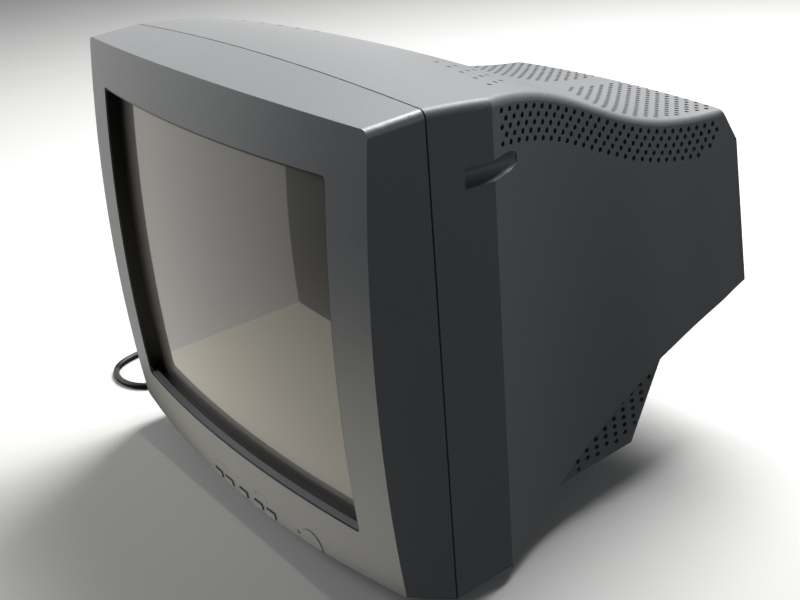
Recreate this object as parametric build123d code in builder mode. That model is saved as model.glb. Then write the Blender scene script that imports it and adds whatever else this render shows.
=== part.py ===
from build123d import *
import math
import os

# A table-top television set built round a 20 inch picture tube.
# Millimetres.  X runs to the right, Y from the front to the back, Z up.
# The origin is on the floor, under the middle of the cabinet.

# ---- driving dimensions of the cabinet ----
FACE = -232.8  # Y of the plane through the four corners of the screen opening
AXIS = 228.0  # height of the picture tube's axis
OPENING_W = 406.0
OPENING_H = 305.0
FACE_R = 1600.0  # the front is a shallow dome
FACE_RISE = 21.7  # how far the dome stands ahead of the opening's corners
HALF_FRONT = 249.0  # half the width at the front edge
HALF_CREASE = 248.0  # half the width at the crease behind the seam
WALL = 3.0
SEAM = 60.0  # depths behind the plane of the opening's corners
SEAM_GAP = 1.6
CREASE = 119.0
REAR = 480.0
BOX_HALF = 190.0  # half the width of the chassis box under the funnel cover
TONGUE = 7.0

# ---- driving dimensions of the picture tube ----
GLASS_SET_BACK = 14.0  # from the front dome to the glass dome
PANEL_W = 434.0
PANEL_H = 333.0
SKIRT_END = 78.0
NECK_R = 14.55
NECK_START = 305.0
NECK_END = 436.0

# ---- vents ----
SCREW_R = 1.6
VENT_R = 2.45
VENT_PITCH = 12.0
VENT_ROW = 6.46

CORD_D = 7.0

os.makedirs("parts", exist_ok=True)


def place(x, depth, height):
    """A point from its depth behind the opening and its height over the tube's axis."""
    return (x, FACE + depth, AXIS + height)


def across(depth):
    """The upright plane across the set at a depth; its normal points to the viewer."""
    return Plane(origin=place(0, depth, 0), x_dir=(1, 0, 0), z_dir=(0, -1, 0))


def level(height):
    """The level plane at a height over the axis; its y is the depth."""
    return Plane(origin=place(0, 0, height), x_dir=(1, 0, 0), z_dir=(0, 0, 1))


def lengthways(x):
    """The upright plane along the set; its x is the depth and its y the height."""
    return Plane(origin=place(x, 0, 0), x_dir=(0, 1, 0), z_dir=(1, 0, 0))


def keep(piece, name):
    piece.part.label = name
    export_step(piece.part, f"parts/{name}.step")


def dome(x, height, set_back=0.0):
    """Depth of the front dome, or of a dome set back behind it."""
    return set_back - FACE_RISE + (x**2 + height**2) / (2 * FACE_R)


DOME_CENTRE = place(0, FACE_R - FACE_RISE, 0)


# ---- the cabinet's outline, as formulas ----
def top_height(depth):
    """Height of the top's side edge: level in front, an S down to the low rear."""
    if depth < SEAM:
        return 192.1 + 0.075 * depth
    return 146.1 - 61.4 * math.tanh((depth - 269.9) / 124.7) + 0.033 * (depth - 269.9)


def top_crown(depth):
    return 7.4 - 2.2 * max(depth, 0) / REAR


def bottom_side(depth):
    """Height of the bottom's side edge as far as the crease."""
    if depth < SEAM:
        return -196.0 - 0.51 * (depth - 9.0)
    return -222.0 + 7.0 * (depth - SEAM) / (CREASE - SEAM)


def bottom_bow(depth):
    return 2.5 + 0.245 * max(SEAM - depth, 0.0)


def half_width(depth, height):
    """Half the width at a depth and height; behind the crease the walls are hollow."""
    if depth < CREASE:
        return HALF_FRONT + (HALF_CREASE - HALF_FRONT) * depth / CREASE
    t = (depth - CREASE) / (REAR - CREASE)
    high = HALF_CREASE - 109.0 * t - 4 * 15.9 * t * (1 - t)
    low = HALF_CREASE - 57.0 * t - 4 * 11.0 * t * (1 - t)
    low -= 10.5 * math.sin(math.pi * min(t / 0.6, 1.0))  # pinched in over the chassis box
    return high + (low - high) * (200.0 - height) / 430.0


def bell_underside(depth):
    """Height of the funnel cover's underside, which rises in two slopes."""
    if depth < 348.0:
        return -215.0 + (depth - CREASE) * 104.0 / 229.0
    return -111.0 + (depth - 348.0) * 35.0 / 132.0


def box_floor(depth):
    return -222.0 + 0.138 * (depth - 63.0)


def ring(depth, inset, bottom=None):
    """Face of the cabinet's section at a depth, drawn in by a wall thickness."""
    top = top_height(depth) - inset
    low = (bottom_side(depth) if bottom is None else bottom) + inset
    bow = bottom_bow(depth) if bottom is None else 0.0
    wide_top = half_width(depth, top) - inset
    wide_low = half_width(depth, low) - inset
    with BuildSketch(across(depth)) as section:
        with BuildLine():
            Line((wide_low, low), (wide_top, top))
            ThreePointArc((wide_top, top), (0, top + top_crown(depth)), (-wide_top, top))
            Line((-wide_top, top), (-wide_low, low))
            if bow:
                ThreePointArc((-wide_low, low), (0, low - bow), (wide_low, low))
            else:
                Line((-wide_low, low), (wide_low, low))
        make_face()
        corners = section.vertices().group_by(Axis.Y)
        fillet(corners[-1], 7.0 - inset / 2)
        if bow:
            fillet(section.vertices().group_by(Axis.Y)[0], 3.5 - inset / 2)
    return section.sketch


def lofted(depths, inset, bottom=None):
    """Solid through the cabinet's sections at some depths."""
    with BuildPart() as body:
        for depth in depths:
            add(ring(depth, inset, bottom))
        loft()
    return body.part


def funnel_cover(inset):
    """The hollow-sided rear body: its sections, cut to its underside and its rear."""
    stations = [CREASE + 33.0 * step for step in range(11)] + [REAR + 14.0]
    with BuildPart() as body:
        add(lofted(stations, inset, -240.0))
        with BuildSketch(lengthways(0)):
            with BuildLine():
                Polyline(
                    (CREASE - 1, bell_underside(CREASE) + inset),
                    (CREASE, bell_underside(CREASE) + inset),
                    (348.0, -111.0 + inset),
                    (REAR - inset, bell_underside(REAR) + inset),
                    (REAR - inset, 64.0 - inset / 2),
                    (REAR - inset - 42.0, 64.0 - inset / 2 + 72.0),
                    (REAR - inset - 42.0, 260.0),
                    (CREASE - 1, 260.0),
                    close=True,
                )
            make_face()
        extrude(amount=260.0, both=True, mode=Mode.INTERSECT)
    return body.part


def chassis_box(inset):
    """The straight-sided box under the funnel cover."""
    start = 92.0
    overlap = 7.0
    with BuildPart() as body:
        with BuildSketch(lengthways(0)):
            with BuildLine():
                Polyline(
                    (start, box_floor(start) + inset),
                    (310.0 - inset / 2, box_floor(310.0) + inset),
                    (348.0 - inset, -111.0),
                    (348.0 - inset, -111.0 + overlap),
                    (CREASE, bell_underside(CREASE) + overlap),
                    (start, bell_underside(CREASE) + overlap),
                    close=True,
                )
            make_face()
        extrude(amount=BOX_HALF - inset, both=True)
    return body.part


# ---- fixing points shared by several pieces ----
EARS = [(x, h) for x in (-228.0, 228.0) for h in (-174.0, 174.0)]
SIDE_SCREW_X = 240.0
SIDE_SCREW_H = 138.0
LOW_SCREW_X = 130.0
LOW_SCREW_H = -205.0
SCOOP_FRONT = 91.0
SCOOP_END = 152.0
SCOOP_R = 8.0
SCOOP_SKIN = 2.5
POST_R = 4.5
cover_screw_spots = [(s * SIDE_SCREW_X, SIDE_SCREW_H) for s in (-1, 1)]
cover_screw_spots += [(s * LOW_SCREW_X, LOW_SCREW_H) for s in (-1, 1)]

# ---- controls on the chin ----
BUTTON_H = -200.2
BUTTON_W = 14.6
BUTTON_TALL = 6.2
BUTTON_SLOT = 1.6  # the gap over each button
BUTTON_TRAVEL = 1.5
BUTTONS = {
    "volume_down_button": -45.0,
    "volume_up_button": -22.5,
    "menu_button": 6.0,
    "channel_down_button": 34.5,
    "channel_up_button": 57.0,
}
POWER_X = 123.5
POWER_H = -202.0
POWER_R = 15.5
POWER_STEM_H = POWER_H + 9.0
SENSOR_X = 103.5
SENSOR_H = -197.0
SENSOR_R = 2.2

bezel_outer = lofted([-25.0, SEAM - SEAM_GAP], 0)
bezel_inner = lofted([-25.0, SEAM + 1.0], WALL)
tongue_outer = lofted([SEAM - SEAM_GAP - 4.0, SEAM + TONGUE], WALL + 0.12)
tongue_inner = lofted([SEAM - SEAM_GAP - 5.0, SEAM + TONGUE + 1.0], WALL + 1.8)

# ---- front bezel ----
with BuildPart() as bezel_space:
    add(bezel_inner)
    with Locations(DOME_CENTRE):
        Sphere(FACE_R - 3.5, mode=Mode.INTERSECT)

# the ledge under the glass runs back from the opening and follows the dome
with BuildPart() as sill_block:
    with BuildSketch(across(-30.0)):
        with Locations((0, -OPENING_H / 2 - 2.0)):
            Rectangle(OPENING_W + 12.0, 4.0)
    extrude(amount=-60.0)
    with Locations(DOME_CENTRE):
        Sphere(FACE_R - 2.0, mode=Mode.INTERSECT)
with BuildPart() as behind_sill:
    with Locations(DOME_CENTRE):
        Sphere(FACE_R - 8.0)
with BuildPart() as sill:
    add(sill_block.part)
    add(behind_sill.part, mode=Mode.SUBTRACT)

with BuildPart() as front_bezel:
    add(bezel_outer)
    with Locations(DOME_CENTRE):
        Sphere(FACE_R, mode=Mode.INTERSECT)
    add(bezel_space.part, mode=Mode.SUBTRACT)
    add(sill.part)
    # tongue that locates the rear cover
    add(tongue_outer)
    add(tongue_inner, mode=Mode.SUBTRACT)
    # posts for the tube's ears and for the cover screws
    for x, height in EARS:
        with BuildSketch(across(54.0)):
            with Locations((x, height)):
                Circle(7.0)
        extrude(amount=54.0 - dome(x, height) - 2.0)
    for x, height in cover_screw_spots:
        start = 22.0 if height < 0 else dome(x, height) + 2.0
        with BuildSketch(across(SCOOP_FRONT - SCOOP_SKIN)):
            with Locations((x, height)):
                Circle(POST_R)
        extrude(amount=SCOOP_FRONT - SCOOP_SKIN - start)
    # the screen opening
    with BuildSketch(across(-30.0)):
        RectangleRounded(OPENING_W, OPENING_H, 4.5)
    extrude(amount=-60.0, mode=Mode.SUBTRACT)
    # windows for the five buttons, the power button and the sensor
    with BuildSketch(across(-20.0)):
        for x in BUTTONS.values():
            with Locations((x, BUTTON_H + (BUTTON_SLOT - 0.4) / 2)):
                RectangleRounded(BUTTON_W + 0.8, BUTTON_TALL + BUTTON_SLOT + 0.4, 0.8)
        with Locations((SENSOR_X, SENSOR_H)):
            Circle(SENSOR_R)
    extrude(amount=-30.0, mode=Mode.SUBTRACT)
    with BuildSketch(across(-20.0)):
        with Locations((POWER_X, POWER_H)):
            Circle(POWER_R + 0.4)
    extrude(amount=-38.0, mode=Mode.SUBTRACT)
    # screw holes
    with BuildSketch(across(56.0)):
        with Locations(*EARS):
            Circle(SCREW_R)
    extrude(amount=18.0, mode=Mode.SUBTRACT)
    with BuildSketch(across(SCOOP_FRONT)):
        with Locations(*cover_screw_spots):
            Circle(SCREW_R)
    extrude(amount=18.0, mode=Mode.SUBTRACT)
keep(front_bezel, "front_bezel")

# ---- black surround between the bezel and the glass, and the silver trim on its sill ----
with BuildPart() as behind_surround:
    with Locations(DOME_CENTRE):
        Sphere(FACE_R - GLASS_SET_BACK)


def sill_strip(front, back, low, high_front, high_back):
    """A strip that follows the dome along the opening's lower edge."""
    edge = dome(0, -OPENING_H / 2)
    with BuildPart() as body:
        with BuildSketch(lengthways(0)):
            with BuildLine():
                Polyline(
                    (edge + front, low),
                    (edge + back, low),
                    (edge + back, high_back),
                    (edge + front, high_front),
                    close=True,
                )
            make_face()
        revolve(axis=Axis(DOME_CENTRE, (0, 0, 1)), revolution_arc=16.0)
    return body.part.rotate(Axis(DOME_CENTRE, (0, 0, 1)), -8.0)


TRIM_LOW = -OPENING_H / 2 + 0.8
with BuildPart() as screen_surround:
    with BuildSketch(across(-30.0)):
        RectangleRounded(OPENING_W - 0.4, OPENING_H - 0.4, 4.3)
        RectangleRounded(OPENING_W - 4.4, OPENING_H - 4.4, 3.0, mode=Mode.SUBTRACT)
    extrude(amount=-70.0)
    with Locations(DOME_CENTRE):
        Sphere(FACE_R - 1.2, mode=Mode.INTERSECT)
    add(behind_surround.part, mode=Mode.SUBTRACT)
    add(sill_strip(-8.0, 7.4, TRIM_LOW, TRIM_LOW + 6.0, TRIM_LOW + 6.0), mode=Mode.SUBTRACT)
keep(screen_surround, "screen_surround")

with BuildPart() as screen_trim:
    add(sill_strip(1.5, 7.3, TRIM_LOW, TRIM_LOW + 0.9, TRIM_LOW + 1.9))
    with BuildSketch(across(-40.0)):
        RectangleRounded(OPENING_W - 0.6, OPENING_H - 0.6, 4.2)
    extrude(amount=-80.0, mode=Mode.INTERSECT)
keep(screen_trim, "screen_trim")

# ---- rear cover ----
cover_outer = funnel_cover(0)
cover_inner = funnel_cover(WALL)
band_outer = lofted([SEAM, 74.0, 96.0, CREASE], 0)
band_inner = lofted([SEAM - 2.0, 74.0, 96.0, CREASE], WALL)
box_outer = chassis_box(0)
box_inner = chassis_box(WALL)

# recess at the back of the chassis box for the sockets and the mains cord
POCKET_FRONT = 300.0
POCKET_HALF = 112.0
POCKET_TOP = -134.0
POCKET_LOW = -177.0
JACK_WINDOW = (26.0, -155.5, 150.0, 34.0)
CORD_X = -84.0
CORD_H = -158.0


def pocket(grow):
    with BuildPart() as body:
        with BuildSketch(across(POCKET_FRONT - grow)):
            with Locations((0, (POCKET_TOP + POCKET_LOW) / 2)):
                Rectangle(2 * (POCKET_HALF + grow), POCKET_TOP - POCKET_LOW + 2 * grow)
        extrude(amount=-60.0)
    return body.part


def scoops(grow):
    """Finger-wide slots that lead a screwdriver to the cover screws."""
    reach = SCOOP_R + grow
    with BuildPart() as body:
        for x, height in cover_screw_spots:
            side = math.copysign(1, x)
            with BuildSketch(across(SCOOP_FRONT - grow)):
                with Locations((x, height)):
                    Circle(reach)
                if height > 0:
                    with Locations((x + 10.0 * side, height)):
                        Rectangle(20.0, 2 * reach)
                else:
                    with Locations((x, height - 13.0)):
                        Rectangle(2 * reach, 26.0)
            extrude(amount=-(SCOOP_END - SCOOP_FRONT + 2 * grow))
    return body.part


side_vents = []
for row in range(5):
    shift = VENT_PITCH / 2 if row % 2 else 0.0
    count = (27, 27, 27, 26, 25)[row]
    for step in range(count):
        depth = 132.8 + shift + VENT_PITCH * step
        side_vents.append((depth, top_height(depth) - 10.8 - VENT_ROW * row))

# columns of vents in the sides of the chassis box, counted from the rear
FACET_COUNTS = (1, 3, 5, 5, 5, 4, 4, 3, 3)
facet_vents = []
for column, count in enumerate(FACET_COUNTS):
    first = -127.0 - 4.1 * column - 0.25 * column**2
    for step in range(count):
        facet_vents.append((332.8 - 11.3 * column + 0.9 * step, first - 8.2 * step))

top_vents = []
for row in range(34):
    depth = 250.0 + VENT_ROW * row
    for step in range(12):
        x = 20.0 + 13.0 * step + (6.5 if row % 2 else 0.0)
        inside = depth > 392.0 - 0.52 * x and x < half_width(depth, 100.0) - 11.0
        if inside and depth < 463.0:
            top_vents += [(x, depth), (-x, depth)]
for row in range(3):
    for step in range(5 - row):
        x = 98.0 + 14.0 * row + 25.5 * step
        depth = 199.0 - 0.225 * x + 12.0 * row
        top_vents += [(x, depth), (-x, depth)]

with BuildPart() as cover_space:
    add(band_inner)
    add(cover_inner)
    add(box_inner)
    add(scoops(SCOOP_SKIN), mode=Mode.SUBTRACT)
    add(pocket(WALL), mode=Mode.SUBTRACT)

with BuildPart() as rear_cover:
    add(band_outer)
    add(cover_outer)
    add(box_outer)
    add(cover_space.part, mode=Mode.SUBTRACT)
    add(scoops(0), mode=Mode.SUBTRACT)
    add(pocket(0), mode=Mode.SUBTRACT)
    # the window for the sockets and the hole for the cord's strain relief
    with BuildSketch(across(POCKET_FRONT - WALL - 1.0)):
        with Locations(JACK_WINDOW[:2]):
            Rectangle(*JACK_WINDOW[2:])
        with Locations((CORD_X, CORD_H)):
            Circle(6.0)
    extrude(amount=-(WALL + 2.0), mode=Mode.SUBTRACT)
    # clearance holes for the cover screws
    with BuildSketch(across(SCOOP_FRONT - 4.0)):
        with Locations(*cover_screw_spots):
            Circle(SCREW_R)
    extrude(amount=-5.0, mode=Mode.SUBTRACT)
    # rear feet, moulded with the cover as two hollow legs
    for x in (-104.0, 104.0):
        with BuildSketch(level(-226.0)):
            with Locations((x, 288.0)):
                RectangleRounded(44.0, 30.0, 6.0)
        extrude(amount=226.0 + box_floor(288.0) + 1.5)
    # posts that carry the main board
    for x in (-140.0, 140.0):
        for depth in (150.0, 280.0):
            with BuildSketch(level(-181.0)):
                with Locations((x, depth)):
                    Circle(4.0)
            extrude(amount=-(-181.0 - box_floor(depth) - 1.0))
    # air vents
    with BuildSketch(lengthways(0)):
        with Locations(*side_vents):
            Circle(VENT_R)
    extrude(amount=255.0, both=True, mode=Mode.SUBTRACT)
    for x in (-BOX_HALF - 5.0, BOX_HALF - 5.0):
        with BuildSketch(lengthways(x)):
            with Locations(*facet_vents):
                Circle(VENT_R)
        extrude(amount=10.0, mode=Mode.SUBTRACT)
    with BuildSketch(level(60.0)):
        with Locations(*top_vents):
            Circle(VENT_R - 0.15)
    extrude(amount=160.0, mode=Mode.SUBTRACT)
keep(rear_cover, "rear_cover")

# ---- fasteners, each a pan head on a plain shank ----


def screw(x, height, head_depth, length, head_r=4.0):
    """A screw along the set, its head at the back."""
    with BuildPart() as body:
        with BuildSketch(across(head_depth)):
            with Locations((x, height)):
                Circle(head_r)
        extrude(amount=-2.6)
        fillet(body.edges().group_by(Axis.Y)[-1], 1.0)
        with BuildSketch(across(head_depth)):
            with Locations((x, height)):
                Circle(SCREW_R)
        extrude(amount=length)
        with BuildSketch(across(head_depth + 3.0)):
            with Locations((x, height)):
                Rectangle(4.2, 1.0)
                Rectangle(1.0, 4.2)
        extrude(amount=1.8, mode=Mode.SUBTRACT)
    return body.part


with BuildPart() as cover_screws:
    for x, height in cover_screw_spots:
        add(screw(x, height, SCOOP_FRONT, 16.0))
keep(cover_screws, "cover_screws")

EAR_DEPTH = 54.0
EAR_THICK = 2.5
with BuildPart() as tube_mount_screws:
    for x, height in EARS:
        add(screw(x, height, EAR_DEPTH + EAR_THICK, 17.0, 5.5))
keep(tube_mount_screws, "tube_mount_screws")

# ---- picture tube: panel, funnel and neck ----
GLASS_R = FACE_R - GLASS_SET_BACK
PANEL_THICK = 12.0

with BuildPart() as panel_hollow:
    with BuildSketch(across(-30.0)):
        RectangleRounded(PANEL_W - 22.0, PANEL_H - 22.0, 18.0)
    extrude(amount=-140.0)
    with Locations(DOME_CENTRE):
        Sphere(GLASS_R - PANEL_THICK, mode=Mode.INTERSECT)

with BuildPart() as crt_panel_glass:
    with BuildSketch(across(-20.0)):
        RectangleRounded(PANEL_W, PANEL_H, 24.0)
    extrude(amount=-(SKIRT_END + 20.0))
    with Locations(DOME_CENTRE):
        Sphere(GLASS_R, mode=Mode.INTERSECT)
    add(panel_hollow.part, mode=Mode.SUBTRACT)
keep(crt_panel_glass, "crt_panel_glass")

FUNNEL_SECTIONS = (
    (SKIRT_END, PANEL_W, PANEL_H, 24.0),
    (SKIRT_END + 26.0, 420.0, 320.0, 34.0),
    (145.0, 372.0, 280.0, 60.0),
    (190.0, 290.0, 224.0, 72.0),
    (235.0, 186.0, 152.0, 62.0),
    (275.0, 84.0, 76.0, 34.0),
    (NECK_START, 2 * NECK_R, 2 * NECK_R, NECK_R - 0.3),
)


def funnel(inset):
    with BuildPart() as body:
        for depth, width, tall, corner in FUNNEL_SECTIONS:
            room = min(width, tall) / 2 - inset - 0.3
            with BuildSketch(across(depth)):
                RectangleRounded(width - 2 * inset, tall - 2 * inset, min(corner, room))
        loft()
    return body.part


with BuildPart() as crt_funnel_glass:
    add(funnel(0))
    add(funnel(4.0), mode=Mode.SUBTRACT)
keep(crt_funnel_glass, "crt_funnel_glass")

with BuildPart() as crt_neck_glass:
    with BuildSketch(across(NECK_START)):
        Circle(NECK_R)
        Circle(NECK_R - 1.6, mode=Mode.SUBTRACT)
    extrude(amount=-(NECK_END - NECK_START))
keep(crt_neck_glass, "crt_neck_glass")

# ---- steel band shrunk round the panel, with an ear at each corner ----
with BuildPart() as implosion_band:
    with BuildSketch(across(40.0)):
        RectangleRounded(PANEL_W + 4.4, PANEL_H + 4.4, 26.2)
        RectangleRounded(PANEL_W, PANEL_H, 24.0, mode=Mode.SUBTRACT)
    extrude(amount=-30.0)
    with BuildSketch(across(EAR_DEPTH)):
        for x, height in EARS:
            lean_x = math.copysign(13.0, x)
            lean_h = math.copysign(11.0, height)
            with Locations((x - lean_x, height - lean_h)):
                Rectangle(44.0, 38.0)
        RectangleRounded(PANEL_W + 2.0, PANEL_H + 2.0, 25.0, mode=Mode.SUBTRACT)
        with Locations(*EARS):
            Circle(SCREW_R, mode=Mode.SUBTRACT)
    extrude(amount=-EAR_THICK)
keep(implosion_band, "implosion_band")

# ---- colour selection: a slotted mask on its steel frame, behind the panel ----
MASK_SET_BACK = GLASS_SET_BACK + PANEL_THICK + 10.0

with BuildPart() as mask_backing:
    with Locations(DOME_CENTRE):
        Sphere(FACE_R - MASK_SET_BACK - 0.6)

with BuildPart() as shadow_mask:
    with BuildSketch(across(-10.0)):
        RectangleRounded(388.0, 290.0, 14.0)
    extrude(amount=-80.0)
    with Locations(DOME_CENTRE):
        Sphere(FACE_R - MASK_SET_BACK, mode=Mode.INTERSECT)
    add(mask_backing.part, mode=Mode.SUBTRACT)
keep(shadow_mask, "shadow_mask")

with BuildPart() as mask_frame:
    with BuildSketch(across(-10.0)):
        RectangleRounded(390.0, 292.0, 15.0)
        RectangleRounded(384.0, 286.0, 12.0, mode=Mode.SUBTRACT)
    extrude(amount=-72.0)
    add(mask_backing.part, mode=Mode.INTERSECT)
keep(mask_frame, "mask_frame")

# ---- electron gun in the neck: three cathodes and the stacked grids ----
with BuildPart() as electron_gun:
    for depth, radius, long in (
        (356.0, 11.6, 22.0),
        (380.0, 10.6, 16.0),
        (398.5, 10.6, 5.0),
        (406.0, 10.0, 3.0),
        (411.5, 9.6, 5.0),
    ):
        with BuildSketch(across(depth)):
            Circle(radius)
            with Locations((-5.2, 0), (0, 0), (5.2, 0)):
                Circle(2.0, mode=Mode.SUBTRACT)
        extrude(amount=-long)
    with BuildSketch(across(356.0)):
        with Locations((0, 10.6), (0, -10.6)):
            Rectangle(6.0, 2.6)
    extrude(amount=-62.0)
keep(electron_gun, "electron_gun")

with BuildPart() as tube_base:
    with BuildSketch(across(NECK_END)):
        Circle(NECK_R)
    extrude(amount=-4.0)
    with BuildSketch(across(NECK_END + 4.0)):
        with PolarLocations(7.6, 10):
            Circle(0.55)
    extrude(amount=-7.0)
keep(tube_base, "tube_base")

# ---- deflection yoke ----
with BuildPart() as yoke_former:
    with BuildSketch(lengthways(0)):
        with BuildLine():
            Polyline(
                (256.0, 66.0),
                (259.0, 66.0),
                (292.0, 26.0),
                (332.0, 18.0),
                (332.0, 15.0),
                (306.0, 15.0),
                (289.0, 22.5),
                close=True,
            )
        make_face()
    revolve(axis=Axis((0, 0, AXIS), (0, 1, 0)))
    add(funnel(-0.3), mode=Mode.SUBTRACT)
keep(yoke_former, "yoke_former")

with BuildPart() as yoke_windings:
    with BuildSketch(lengthways(0)):
        with BuildLine():
            Polyline(
                (259.8, 66.4),
                (266.0, 68.0),
                (298.0, 33.0),
                (324.0, 27.0),
                (330.0, 27.0),
                (330.0, 18.8),
                (292.3, 26.4),
                close=True,
            )
        make_face()
    revolve(axis=Axis((0, 0, AXIS), (0, 1, 0)))
keep(yoke_windings, "yoke_windings")

with BuildPart() as yoke_core:
    with BuildSketch(lengthways(0)):
        with BuildLine():
            Polyline(
                (274.0, 60.0),
                (279.0, 66.0),
                (302.0, 43.0),
                (320.0, 38.0),
                (320.0, 28.4),
                (298.6, 33.6),
                close=True,
            )
        make_face()
    revolve(axis=Axis((0, 0, AXIS), (0, 1, 0)))
keep(yoke_core, "yoke_core")

with BuildPart() as convergence_rings:
    for depth in (340.0, 344.5, 351.0, 355.5, 362.0, 366.5):
        with BuildSketch(across(depth)):
            Circle(24.0)
            with Locations((0, 25.0)):
                Rectangle(7.0, 10.0)
            Circle(NECK_R + 2.6, mode=Mode.SUBTRACT)
        extrude(amount=-3.0)
    with BuildSketch(across(334.0)):
        Circle(NECK_R + 2.6)
        Circle(NECK_R + 0.2, mode=Mode.SUBTRACT)
    extrude(amount=-42.0)
keep(convergence_rings, "convergence_rings")

# ---- board on the tube's neck ----
NECK_BOARD_DEPTH = 449.0
with BuildPart() as crt_socket:
    with BuildSketch(across(NECK_END + 4.4)):
        Circle(17.0)
        with Locations((0, -15.0)):
            Rectangle(24.0, 12.0)
        Circle(3.5, mode=Mode.SUBTRACT)
        with PolarLocations(7.6, 10):
            Circle(0.9, mode=Mode.SUBTRACT)
    extrude(amount=-(NECK_BOARD_DEPTH - NECK_END - 4.4))
keep(crt_socket, "crt_socket")

with BuildPart() as neck_board:
    with BuildSketch(across(NECK_BOARD_DEPTH)):
        Rectangle(112.0, 92.0)
    extrude(amount=-1.6)
    with BuildSketch(across(NECK_BOARD_DEPTH + 1.6)):
        with Locations((-38.0, 24.0), (-38.0, 0.0), (-38.0, -24.0)):
            Rectangle(10.0, 14.0)
        with Locations((34.0, 26.0), (34.0, 4.0)):
            Circle(4.0)
        with Locations((30.0, -28.0)):
            Rectangle(22.0, 8.0)
    extrude(amount=-9.0)
keep(neck_board, "neck_board")

# ---- anode connection on the funnel's upper side ----
ANODE_DEPTH = 190.0
ANODE_H = 112.0
with BuildPart() as anode_cap:
    with BuildSketch(level(ANODE_H + 0.6)):
        with Locations((0, ANODE_DEPTH)):
            Circle(24.0)
    extrude(amount=9.0)
    fillet(anode_cap.edges().group_by(Axis.Z)[-1], 6.0)
    add(funnel(-0.3), mode=Mode.SUBTRACT)
keep(anode_cap, "anode_cap")

# ---- main board with what stands on it ----
BOARD_H = -181.0
BOARD_TOP = BOARD_H + 1.6
with BuildPart() as main_board:
    with BuildSketch(level(BOARD_H)):
        with Locations((0, 204.0)):
            Rectangle(330.0, 176.0)
    extrude(amount=1.6)
keep(main_board, "main_board")

FLYBACK_X = -96.0
FLYBACK_DEPTH = 236.0
with BuildPart() as flyback_transformer:
    with BuildSketch(level(BOARD_TOP)):
        with Locations((FLYBACK_X, FLYBACK_DEPTH)):
            RectangleRounded(44.0, 40.0, 9.0)
    extrude(amount=66.0)
    fillet(flyback_transformer.edges().group_by(Axis.Z)[-1], 3.0)
    with BuildSketch(level(BOARD_TOP)):
        with Locations((FLYBACK_X + 33.0, FLYBACK_DEPTH)):
            Rectangle(24.0, 13.0)
    extrude(amount=58.0)
    with BuildSketch(level(BOARD_TOP + 14.0)):
        with Locations((FLYBACK_X + 31.0, FLYBACK_DEPTH)):
            Rectangle(12.0, 14.0)
    extrude(amount=30.0, mode=Mode.SUBTRACT)
keep(flyback_transformer, "flyback_transformer")

KNOB_DEPTH = FLYBACK_DEPTH + 20.0 + 0.3
KNOBS = {"focus_knob": BOARD_TOP + 50.0, "screen_knob": BOARD_TOP + 28.0}
KNOB_R = 7.0
for name, height in KNOBS.items():
    with BuildPart() as knob:
        with BuildSketch(across(KNOB_DEPTH)):
            with Locations((FLYBACK_X, height)):
                Circle(KNOB_R)
                with PolarLocations(KNOB_R, 12):
                    Circle(0.7, mode=Mode.SUBTRACT)
        extrude(amount=-10.0)
        with BuildSketch(across(KNOB_DEPTH + 10.0)):
            with Locations((FLYBACK_X, height)):
                Rectangle(9.0, 1.4)
        extrude(amount=1.5, mode=Mode.SUBTRACT)
    keep(knob, name)

with BuildPart() as anode_lead:
    start = Vector(*place(FLYBACK_X, FLYBACK_DEPTH, BOARD_TOP + 66.0))
    finish = Vector(*place(-20.0, ANODE_DEPTH, ANODE_H + 5.0))
    with BuildLine():
        FilletPolyline(
            start,
            place(FLYBACK_X, FLYBACK_DEPTH, -70.0),
            place(-166.0, FLYBACK_DEPTH, -30.0),
            place(-166.0, FLYBACK_DEPTH - 4.0, 60.0),
            place(-120.0, ANODE_DEPTH + 4.0, 118.0),
            finish,
            radius=18.0,
        )
    with BuildSketch(Plane(start, z_dir=(0, 0, 1))):
        Circle(2.2)
    sweep()
keep(anode_lead, "anode_lead")

with BuildPart() as power_transformer:
    with BuildSketch(level(BOARD_TOP)):
        with Locations((100.0, 236.0)):
            RectangleRounded(46.0, 40.0, 1.5)
    extrude(amount=34.0)
    with BuildSketch(level(BOARD_TOP)):
        with Locations((100.0, 236.0)):
            Rectangle(54.0, 16.0)
    extrude(amount=42.0)
keep(power_transformer, "power_transformer")

CAPACITORS = (
    (44.0, 236.0, 15.0, 42.0),
    (68.0, 180.0, 8.0, 30.0),
    (26.0, 268.0, 6.5, 25.0),
    (-58.0, 268.0, 8.0, 30.0),
    (-44.0, 186.0, 6.5, 25.0),
    (-10.0, 150.0, 5.0, 20.0),
    (126.0, 180.0, 6.5, 25.0),
)
with BuildPart() as capacitors:
    for x, depth, radius, tall in CAPACITORS:
        with BuildSketch(level(BOARD_TOP)):
            with Locations((x, depth)):
                Circle(radius)
        extrude(amount=tall)
    fillet(capacitors.edges().filter_by(GeomType.CIRCLE).group_by(Axis.Z)[-1], 1.0)
keep(capacitors, "capacitors")

HEAT_SINKS = ((-140.0, 196.0, 60.0), (8.0, 196.0, 54.0), (148.0, 204.0, 66.0))
with BuildPart() as heat_sinks:
    for x, depth, long in HEAT_SINKS:
        with BuildSketch(level(BOARD_TOP)):
            with Locations((x, depth)):
                Rectangle(3.0, long)
            with GridLocations(0, long / 5, 1, 5):
                with Locations((x + 6.0, depth)):
                    Rectangle(9.5, 2.0)
        extrude(amount=44.0)
keep(heat_sinks, "heat_sinks")

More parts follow.
